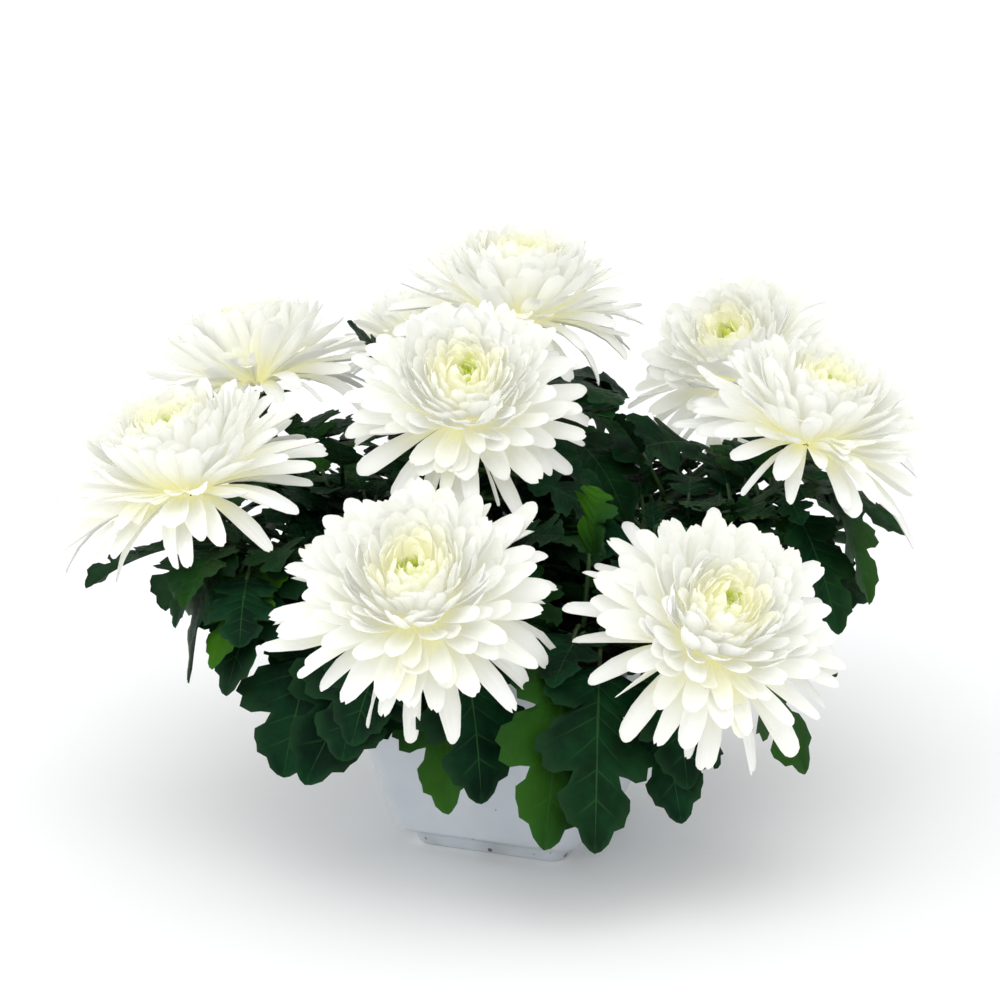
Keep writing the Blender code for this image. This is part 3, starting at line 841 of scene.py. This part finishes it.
def buildStems(cutting, bm, wood, curves, cup, blade):
    look = stemShape
    draw = random.Random("stems " + cutting)
    x, y = cuttings[cutting]
    stub = []
    for k in range(look["stubSteps"] + 1):
        share = k / look["stubSteps"]
        height = look["stubFoot"] + (look["stubTop"] - look["stubFoot"]) * share
        uneven = draw.uniform(-look["stubVary"], look["stubVary"])
        radius = look["stubRadius"] * (1 - look["stubTaper"] * share + uneven)
        stub.append((Vector((x, y, height)) * mm, up, radius * mm))
    addTube(bm, stub, wood)
    thick, thin = look["radius"]
    for name, curve in curves.items():
        path = []
        for step in range(look["steps"] + 1):
            share = step / look["steps"]
            knot = max(0, math.cos(share * look["knots"] * math.tau)) ** look["knotSharp"]
            radius = (thick + (thin - thick) * share) * (1 + look["knotSwell"] * knot)
            chord = branchPoint(curve, min(share, 0.9999))
            path.append((chord.lerp(bezier(curve, share), 0.5), bezierHeading(curve, share), radius * mm))
        addTube(bm, path, wood)
        axis, pose = bloomPose(*blooms[name][1:])
        addCup(bm, cup, blade, pose, axis, draw)


# leaves

leafShape = {
    "outline": [   # half of the blade, shares of its length along and across, with its lobes and teeth
        (0.00, 0.015), (0.03, 0.10), (0.08, 0.17), (0.12, 0.25), (0.18, 0.26), (0.22, 0.33), (0.28, 0.345),
        (0.30, 0.30), (0.345, 0.285), (0.345, 0.22), (0.35, 0.16), (0.40, 0.20), (0.43, 0.29), (0.48, 0.31),
        (0.52, 0.38), (0.59, 0.395), (0.61, 0.345), (0.67, 0.345), (0.69, 0.27), (0.675, 0.21),
        (0.67, 0.15), (0.73, 0.175), (0.77, 0.235), (0.82, 0.225), (0.85, 0.20), (0.89, 0.185),
        (0.91, 0.12), (0.96, 0.09), (0.99, 0.04), (1.0, 0.0),
    ],
    "columns": 6,
    "thickness": 0.3,
    "curveShare": 0.9,
    "bladeLongest": 78,
    "waveRate": 7.5,
    "waveLag": 1.3,
    "stalkRadius": (1.3, 1.0),
    "stalkSteps": 5,
    "stalkInside": 0.03,       # share of the curve that the stalk runs on into the blade
    "veinSlant": 1.5,          # over 1 the veins slant forward
    "veinTop": 0.985,
    "veinEase": 0.9,
    "ripple": (0.06, 24, 2),   # depth, rate along, lag across
    "groove": (0.012, 0.03),   # depth and half width
    "midrib": (1.6, 0.02),     # added thickness below and half width
    "tint": {
        "fresh": (0.02, 0.12),     # mean and spread
        "patch": 0.4,
        "patchRate": (2.5, 5),
        "under": 0.4,
    },
}

leafRule = {   # how the solids' leaves were drawn; the draws that they took are found by their tips
    "seed": 5,
    "total": 92,
    "tries": 600,
    "perBranch": 8,
    "fillers": 120,
    "freedom": 0.3,
    "spreadShares": (0.1, 0.88),
    "spreadReach": [(0, 84), (1, 68)],
    "spreadDrop": [(0, 58), (1, 6)],
    "spreadOutward": 6,
    "leafTurn": 2.4,
    "branchTurn": 1.1,
    "fillerShares": (0.1, 0.9),
    "fillerReach": (48, 76),
    "fillerRise": (-0.5, 0.4),
    "root": 0.09,
    "swing": 1.6,
    "shorter": 0.35,
    "lift": (-0.06, 0.04),
    "over": (0.3, 0.75),
    "arch": (-0.05, 0.4),
    "roll": 0.8,
    "stalk": (0.22, 0.45),
    "fold": (-0.15, 0.3),
    "wave": (0.08, 0.2),
    "marks": [(1, 0), (0.5, 0.37), (0.5, -0.37)],   # the tip and a lobe's corner on each side
    "same": 0.02,
}

aimedLeaves = [   # branch, share of its length, tip in mm, roll in degrees, how fresh its green is
    ("left_front", 0.70, (-135, -98, 93), 0, 0),
    ("front_right", 0.35, (85, -128, 47), 0, 0),
    ("front_left", 0.65, (30, -127, 63), 0, 0),
    ("front_left", 0.20, (-55, -137, 65), 0, 0),
    ("front_left", 0.30, (-26, -142, 81), 0, 0),
    ("front_right", 0.20, (62, -132, 47), 0, 0.5),
    ("left_front", 0.35, (-75, -118, 59), 0, 0),
    ("front_left", 0.50, (0, -138, 60), 0, 0.45),
    ("front_right", 0.60, (116, -85, 66), 0, 0),
    ("front_right", 0.50, (103, -101, 57), 0, 0),
    ("right", 0.50, (165, 81, 116), 0, 0),
    ("left_front", 0.50, (-112, -117, 109), 20, 1.0),
    ("front_right", 0.80, (159, -27, 59), 0, 0),
    ("right", 0.40, (154, 56, 80), 0, 0),
    ("front_right", 0.30, (49, -110, 104), 0, 0),
    ("front_right", 0.15, (54, -33, 193), 0, 0.9),
    ("back_top", 0.75, (35, 66, 212), 15, 0),
    ("right_back", 0.55, (30, 70, 182), -20, 0),
    ("back_small", 0.60, (-128, 88, 242), 0, 0),
    ("centre", 0.30, (30, -52, 150), 0, 0),
    ("left_back", 0.35, (-116, -48, 128), 0, 0.8),
    ("left_front", 0.55, (-156, -40, 104), 0, 0),
    ("right", 0.30, (112, -2, 88), 0, 0),
    ("right", 0.60, (128, 6, 150), 0, 0),
]


def wantedLeaves(curves):
    rule = leafRule
    wanted = []
    for name, share, tip, roll, fresh in aimedLeaves:
        wanted.append((name, share, Vector(tip) * mm, math.radians(roll), rule["freedom"], fresh))
    low, high = rule["spreadShares"]
    for number, (name, curve) in enumerate(curves.items()):
        for k in range(rule["perBranch"]):
            share = low + (high - low) * (k + 0.5) / rule["perBranch"]
            base = bezier(curve, share)
            heading = number * rule["branchTurn"] + rule["leafTurn"] * k
            away = Vector((base.x, base.y, 0)) * rule["spreadOutward"]
            out = outwardAt(heading) + away
            tip = base + out.normalized() * mix(rule["spreadReach"], share) * mm
            tip -= up * mix(rule["spreadDrop"], share) * mm
            wanted.append((name, share, tip, 0.0, 1.0, 0.0))
    draw = random.Random(rule["seed"])
    for _ in range(rule["fillers"]):
        name = draw.choice(list(curves))
        share = draw.uniform(*rule["fillerShares"])
        heading = draw.uniform(0, math.tau)
        side = Vector((math.cos(heading), math.sin(heading), draw.uniform(*rule["fillerRise"])))
        tip = bezier(curves[name], share) + side * draw.uniform(*rule["fillerReach"]) * mm
        wanted.append((name, share, tip, 0.0, 1.0, 0.0))
    return wanted


def solidCorners(cutting):
    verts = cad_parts["cutting_" + cutting].data.vertices
    tree = KDTree(len(verts))
    for vert in verts:
        tree.insert(vert.co, vert.index)
    tree.balance()
    return tree


def placedLeaves(curves):
    rule = leafRule
    corners = {cutting: solidCorners(cutting) for cutting in cuttings}
    draw = random.Random(rule["seed"])
    placed = {name: [] for name in curves}
    wanted = wantedLeaves(curves)
    while wanted and sum(map(len, placed.values())) < rule["total"]:
        name, share, aim, roll, freedom, fresh = wanted.pop(0)
        for attempt in range(rule["tries"]):
            slack = freedom * attempt / rule["tries"]
            base = branchPoint(curves[name], share + draw.uniform(-rule["root"], rule["root"]))
            swing = Matrix.Rotation(draw.uniform(-rule["swing"], rule["swing"]) * slack, 3, "Z")
            tip = base + (swing @ (aim - base)) * (1 - rule["shorter"] * slack)
            tip.z += draw.uniform(*rule["lift"]) * slack
            over = base.lerp(tip, draw.uniform(*rule["over"]))
            over.z = max(base.z, over.z) + draw.uniform(*rule["arch"]) * (tip - base).length
            turn = roll + draw.uniform(-rule["roll"], rule["roll"])
            stalk = draw.uniform(*rule["stalk"])
            fold = draw.uniform(*rule["fold"])
            wave = draw.uniform(*rule["wave"])
            leaf = ([base, over, tip], stalk, turn, fold, wave, fresh)
            solid = corners[blooms[name][0]]
            if all(solid.find(leafPoint(leaf, x, y)[0])[2] < rule["same"] * mm for x, y in rule["marks"]):
                placed[name].append(leaf)
                break
    print("leaves found in the solids:", sum(map(len, placed.values())))
    return placed


fillRule = {   # smaller leaves between the branches, which only the scene has
    "seed": 8,
    "total": 350,
    "tries": 18000,
    "out": (30, 172),      # how far from the middle a tip lies, mm
    "high": (62, 198),
    "freeFront": (86, -70, 65, 100),   # height, heading, how near to it and how near to the middle
    "apart": 13,           # between two tips
    "reach": (30, 74),
    "bases": 14,           # places along a branch that a leaf may grow from
    "baseShares": (0.06, 0.88),
    "drop": 22,            # how far a tip may lie above its base
    "over": (0.35, 0.65),
    "arch": (0.0, 0.3),
    "stalk": (0.22, 0.42),
    "roll": 0.6,
    "fold": (-0.1, 0.25),
    "wave": (0.06, 0.15),
    "fresh": (0, 0, 0, 0, 0.3),
    "columns": 4,
    "lowest": 58,
    "bloomReach": 60,      # the space that a bloom keeps free, in mm of a bloom of the full radius
    "bloomTop": 46,
    "bloomUnder": 9,
    "bloomDroop": 15,
    "sheet": [(0, 0.06), (0.25, 0.3), (0.5, 0.36), (0.75, 0.22), (1, 0.02)],
    "aimed": [   # branch, share of its length, tip in mm: where the photo shows no gap
        ("left_front", 0.80, (-142, -96, 120)),
        ("right", 0.80, (158, 42, 108)),
        ("right", 0.92, (168, 66, 118)),
        ("front_right", 0.75, (140, -8, 90)),
        ("right_back", 0.55, (30, 90, 186)),
        ("right_back", 0.35, (78, 48, 166)),
        ("back_top", 0.70, (15, 84, 182)),
        ("left_back", 0.60, (-98, -12, 178)),
        ("left_front", 0.70, (-118, -92, 98)),
        ("left_front", 0.45, (-104, -112, 90)),
        ("left_front", 0.35, (-98, -104, 92)),
        ("left_back", 0.30, (-62, -38, 186)),
        ("right_back", 0.30, (44, 62, 192)),
        ("right_back", 0.35, (28, 74, 205)),
        ("back_top", 0.60, (32, 60, 206)),
        ("left_back", 0.50, (-82, -30, 204)),
        ("left_front", 0.40, (-96, -82, 100)),
    ],
    "aimedTries": 150,
    "aimedSlack": 9,
}


def solidTree(names):
    points = []
    faces = []
    for name in names:
        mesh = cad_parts[name].data
        faces += [[len(points) + corner for corner in face.vertices] for face in mesh.polygons]
        points += [vert.co.copy() for vert in mesh.vertices]
    return BVHTree.FromPolygons(points, faces)


def inBloom(spot, poses):
    reach = fillRule["bloomReach"]
    for pose in poses:
        place = pose @ spot / mm
        out = math.hypot(place.x, place.y)
        lowest = -fillRule["bloomDroop"] * (out / reach) ** 2 - fillRule["bloomUnder"]
        if out < reach and lowest < place.z < fillRule["bloomTop"]:
            return True
    return False


def fillLeaf(draw, base, tip):
    rule = fillRule
    over = base.lerp(tip, draw.uniform(*rule["over"]))
    over.z = max(base.z, over.z) + draw.uniform(*rule["arch"]) * (tip - base).length
    leaf = ([base, over, tip], draw.uniform(*rule["stalk"]), draw.uniform(-rule["roll"], rule["roll"]))
    return leaf + (draw.uniform(*rule["fold"]), draw.uniform(*rule["wave"]), draw.choice(rule["fresh"]))


def clearSheet(leaf, poses, solids, sheets):  # a coarse leaf, or None where it crosses something
    rule = fillRule
    points = [leafPoint(leaf, x, side * y)[0] for x, y in rule["sheet"] for side in (-1, 0, 1)]
    lowest = min(point.z for point in points)
    if lowest < rule["lowest"] * mm or any(inBloom(point, poses) for point in points):
        return None
    rows = range(0, len(points) - 3, 3)
    quads = [[row + corner + side for corner in (0, 1, 4, 3)] for row in rows for side in (0, 1)]
    sheet = BVHTree.FromPolygons(points, quads)
    if sheet.overlap(solids) or any(sheet.overlap(other) for other in sheets):
        return None
    return sheet


def openTip(draw, poses):  # a place in the foliage that blooms and the pot's front leave free
    rule = fillRule
    out = draw.uniform(*rule["out"])
    heading = draw.uniform(0, math.tau)
    high = draw.uniform(*rule["high"])
    low, front, wide, near = rule["freeFront"]
    off = abs((math.degrees(heading) - front + 180) % 360 - 180)
    if high < low and (off < wide or out < near):
        return None
    tip = Vector((math.cos(heading) * out, math.sin(heading) * out, high)) * mm
    return None if inBloom(tip, poses) else tip


def fillLeaves(curves):
    rule = fillRule
    draw = random.Random(rule["seed"])
    poses = [bloomPose(*bloom[1:])[1].inverted() for bloom in blooms.values()]
    solids = solidTree(["pot", "soil"] + ["cutting_" + cutting for cutting in cuttings])
    low, more = rule["baseShares"]
    shares = [low + more * k / rule["bases"] for k in range(rule["bases"])]
    bases = [(name, branchPoint(curve, share)) for name, curve in curves.items() for share in shares]
    filled = {name: [] for name in curves}
    sheets = []
    tips = []

    def grow(name, base, tip):  # True where the leaf finds room
        leaf = fillLeaf(draw, base, tip)
        sheet = clearSheet(leaf, poses, solids, sheets)
        if sheet is None:
            return False
        sheets.append(sheet)
        tips.append(tip)
        filled[name].append(leaf)
        return True

    for name, share, aim in rule["aimed"]:
        base = branchPoint(curves[name], share)
        for attempt in range(rule["aimedTries"]):
            slack = rule["aimedSlack"] * attempt / rule["aimedTries"]
            shift = Vector([draw.uniform(-slack, slack) for _ in range(3)])
            if grow(name, base, (Vector(aim) + shift) * mm):
                break
        else:
            print("no room for the leaf aimed at", aim)
    nearest, farthest = rule["reach"]
    for _ in range(rule["tries"]):
        tip = openTip(draw, poses)
        if tip is None or any((tip - other).length < rule["apart"] * mm for other in tips):
            continue
        near = [
            (name, base) for name, base in bases
            if nearest * mm < (tip - base).length < farthest * mm
            and tip.z < base.z + rule["drop"] * mm and base.xy.length < tip.xy.length
        ]
        if near and grow(*draw.choice(near), tip) and len(sheets) == rule["total"]:
            break
    print("leaves that fill the gaps:", len(sheets))
    return filled


def leafSizes(leaf):  # (share of the curve that is stalk, length of the blade)
    curve, stalk = leaf[:2]
    length = leafShape["curveShare"] * ((curve[1] - curve[0]).length + (curve[2] - curve[1]).length)
    stalk = max(stalk, 1 - leafShape["bladeLongest"] * mm / length)
    return stalk, length * (1 - stalk)


def leafPoint(leaf, x, y):  # (place of a point of the flat blade, the way the blade faces there)
    look = leafShape
    curve, _, roll, fold, wave = leaf[:5]
    stalk, blade = leafSizes(leaf)
    share = stalk + (1 - stalk) * x
    ahead = bezierHeading(curve, share)
    level = up.cross(curve[-1] - curve[0]).normalized()
    turn = Matrix.Rotation(roll * share, 3, ahead)
    above = turn @ ahead.cross(level).normalized()
    lag = math.copysign(look["waveLag"], y)
    rise = blade * abs(y) * (fold + wave * math.sin(look["waveRate"] * x + lag))
    return bezier(curve, share) + turn @ level * (y * blade) + above * rise, above


def leafBlade(columns):  # the flat blade: x along, y across, z -1 below to 1 above
    outline = leafShape["outline"]
    rows = len(outline) - 1
    blade = thinBlade(columns, rows)
    for vert in blade.vertices:
        across, along, lift = vert.co
        x, y = outline[round(along * rows)]
        root = along ** leafShape["veinSlant"] * leafShape["veinTop"]
        reach = abs(across) ** leafShape["veinEase"]
        vert.co = (root + (x - root) * reach, y * across, lift)
    return blade


def bendLeaf(verts, leaf, draw):
    look = leafShape
    phase = draw.uniform(0, math.tau)
    blade = leafSizes(leaf)[1]
    depth, rate, lag = look["ripple"]
    groove, grooveHalf = look["groove"]
    midrib, midribHalf = look["midrib"]
    for vert in verts:
        x, y, lift = vert.co
        spot, above = leafPoint(leaf, x, y)
        rise = blade * depth * abs(y) * math.sin(rate * x + phase + lag * y)
        rise -= blade * groove * math.exp(-(y / grooveHalf) ** 2)
        thicker = midrib * math.exp(-(y / midribHalf) ** 2) * (lift < 0)
        vert.co = spot + above * (rise + lift * look["thickness"] * mm * (1 + thicker))


def buildLeaves(bm, leaves, blade, draw):
    tint = leafShape["tint"]
    young = bm.verts.layers.float["young"]
    under = bm.verts.layers.float["under"]
    along, sideways = tint["patchRate"]
    for leaf in leaves:
        verts = addCopy(bm, blade)
        flat = [vert.co.copy() for vert in verts]
        bendLeaf(verts, leaf, draw)
        fresh = min(1, leaf[5] + max(0, draw.gauss(*tint["fresh"])))
        phase = draw.uniform(0, math.tau)
        for vert, (x, y, lift) in zip(verts, flat):
            patch = math.sin(along * x + sideways * y + phase)
            vert[young] = fresh * (1 - tint["patch"] + tint["patch"] * patch)
            vert[under] = tint["under"] * (1 - lift)   # a little of it shows along the rim


def addStalks(bm, wood, leaves):
    look = leafShape
    wide, narrow = look["stalkRadius"]
    for leaf in leaves:
        curve = leaf[0]
        path = []
        for k in range(look["stalkSteps"] + 1):
            place = k / look["stalkSteps"]
            share = (leafSizes(leaf)[0] + look["stalkInside"]) * place
            radius = wide + (narrow - wide) * place
            path.append((bezier(curve, share), bezierHeading(curve, share), radius * mm))
        addTube(bm, path, wood)


def buildCuttings(leafSurface, stemSurface):
    curves = {name: branchCurve(name) for name in blooms}
    placed = placedLeaves(curves)
    filled = fillLeaves(curves)
    blade = leafBlade(leafShape["columns"])
    lightBlade = leafBlade(fillRule["columns"])
    bract = thinBlade(*stemShape["bracts"]["grid"])
    cup = cupBody()
    for cutting in cuttings:
        names = [name for name in curves if blooms[name][0] == cutting]
        bm = bmesh.new()
        wood = bm.verts.layers.float.new("wood")
        buildStems(cutting, bm, wood, {name: curves[name] for name in names}, cup, bract)
        for name in names:
            addStalks(bm, wood, placed[name] + filled[name])
        addPiece("stems_" + cutting, bm, stemSurface, "cutting_" + cutting)
        bm = bmesh.new()
        for layer in ("young", "under"):
            bm.verts.layers.float.new(layer)
        for leaves, form in ((placed, blade), (filled, lightBlade)):
            draw = random.Random("leaves " + cutting)
            buildLeaves(bm, [leaf for name in names for leaf in leaves[name]], form, draw)
        addPiece("leaves_" + cutting, bm, leafSurface, "cutting_" + cutting)
    print("cuttings built:", len(cuttings))


# pot and soil

potShape = {
    "corner": 0.2,        # share of the half width
    "cornerSteps": 9,
    "footHalf": 39,
    "footHeight": 7,
    "footFlare": 3,
    "baseHalf": 47,
    "shoulder": [(-2, 1.5), (1.4, 3.6), (3, 8)],   # out from the base, up from the foot
    "rimHalf": 78,
    "rimDepth": 9,
    "rimStep": 2,
    "height": 115,
    "wall": 3.5,
    "floor": 12,
    "edgeRound": 1.0,
    "edgeSteps": 3,
    "edgeAngle": 28,
}


def potHalf(height):
    look = potShape
    share = (height - look["footHeight"]) / (look["height"] - look["footHeight"])
    return look["baseHalf"] + (look["rimHalf"] - look["rimStep"] - look["baseHalf"]) * share


def buildPot(surface):
    look = potShape
    low = look["height"] - look["rimDepth"]
    profile = [(look["footHalf"], 0), (look["footHalf"] + look["footFlare"], look["footHeight"])]
    profile += [(look["baseHalf"] + out, look["footHeight"] + high) for out, high in look["shoulder"]]
    profile += [
        (potHalf(low), low),
        (look["rimHalf"], low + look["rimStep"]),
        (look["rimHalf"], look["height"]),
        (look["rimHalf"] - look["wall"] - look["rimStep"] + 1, look["height"]),
        (potHalf(low) - look["wall"], low),
        (potHalf(look["floor"]) - look["wall"], look["floor"]),
    ]
    bm = bmesh.new()
    bmesh.ops.create_grid(bm, x_segments=1, y_segments=1, size=profile[0][0] * mm)
    corner = profile[0][0] * mm * look["corner"]
    bmesh.ops.bevel(
        bm, geom=bm.verts[:], offset=corner, affect="VERTICES", segments=look["cornerSteps"],
        profile=0.5, material=-1,
    )
    face = bm.faces[:][0]
    for number, ((before, start), (after, end)) in enumerate(zip(profile, profile[1:])):
        face = pullEnd(bm, face, number > 0)
        bmesh.ops.scale(bm, verts=face.verts[:], vec=(after / before, after / before, 1))
        bmesh.ops.translate(bm, verts=face.verts[:], vec=(0, 0, (end - start) * mm))
    bmesh.ops.recalc_face_normals(bm, faces=bm.faces)
    pot = addPiece("potBody", bm, surface, "pot")
    rounded = pot.modifiers.new("Soft edges", "BEVEL")
    rounded.width = look["edgeRound"] * mm
    rounded.segments = look["edgeSteps"]
    rounded.limit_method = "ANGLE"
    rounded.angle_limit = math.radians(look["edgeAngle"])
    print("pot built")


soilShape = {
    "top": 99,
    "mound": 4,
    "depth": 60,
    "inset": 4.3,
    "grid": 64,
    "squeeze": 0.085,      # draws the corners in
    "lumps": 2.2,
    "lumpRates": ((9, 1, 0), (28, 0.6, 3)),   # rate, share, layer of the noise
    "crumbs": 320,
    "crumbReach": 0.92,
    "crumbSize": (0.8, 2.2),
    "crumbStretch": ((0.5, 1.4), (0.5, 1)),
}


def buildSoil(surface):
    look = soilShape
    draw = random.Random("soil")
    half = (potHalf(look["top"]) - look["inset"]) * mm
    bm = bmesh.new()
    bmesh.ops.create_grid(bm, x_segments=look["grid"], y_segments=look["grid"], size=1)
    for vert in bm.verts:
        x, y = vert.co.x, vert.co.y
        squeeze = 1 - look["squeeze"] * (x * y) ** 4
        far = max(abs(x), abs(y))
        lumps = 0
        for rate, share, layer in look["lumpRates"]:
            lumps += share * noise.noise(Vector((x * rate, y * rate, layer)))
        height = look["top"] + look["mound"] * (1 - far * far) + look["lumps"] * lumps * (1 - far ** 8)
        vert.co = (x * squeeze * half, y * squeeze * half, height * mm)
    below = pullFaces(bm, bm.faces[:], bmesh.types.BMVert)
    lowest = (look["top"] - look["depth"]) * mm
    inner = (potHalf(look["top"] - look["depth"]) - look["inset"]) * mm / half
    bmesh.ops.scale(bm, verts=below, vec=(inner, inner, 0))
    bmesh.ops.translate(bm, verts=below, vec=(0, 0, lowest))
    bmesh.ops.recalc_face_normals(bm, faces=bm.faces)
    for _ in range(look["crumbs"]):
        x = draw.uniform(-look["crumbReach"], look["crumbReach"])
        y = draw.uniform(-look["crumbReach"], look["crumbReach"])
        height = look["top"] + look["mound"] * (1 - max(abs(x), abs(y)) ** 2)
        size = draw.uniform(*look["crumbSize"]) * mm
        spot = Matrix.Translation((x * half, y * half, height * mm))
        turn = Matrix.Rotation(draw.uniform(0, math.tau), 4, Vector((x + 0.1, y, 0.5)))
        stretch = Matrix.Diagonal((1, *[draw.uniform(*limits) for limits in look["crumbStretch"]], 1))
        bmesh.ops.create_icosphere(bm, subdivisions=1, radius=size, matrix=spot @ turn @ stretch)
    addPiece("potSoil", bm, surface, "soil")
    print("soil built")


groups = {"mottle": mottleGroup(), "veins": veinGroup()}
buildCamera()
buildStudio()
buildFloor()
buildBlooms(petalMaterial())
buildCuttings(leafMaterial(groups), stemMaterial(groups))
buildPot(potMaterial(groups))
buildSoil(soilMaterial(groups))
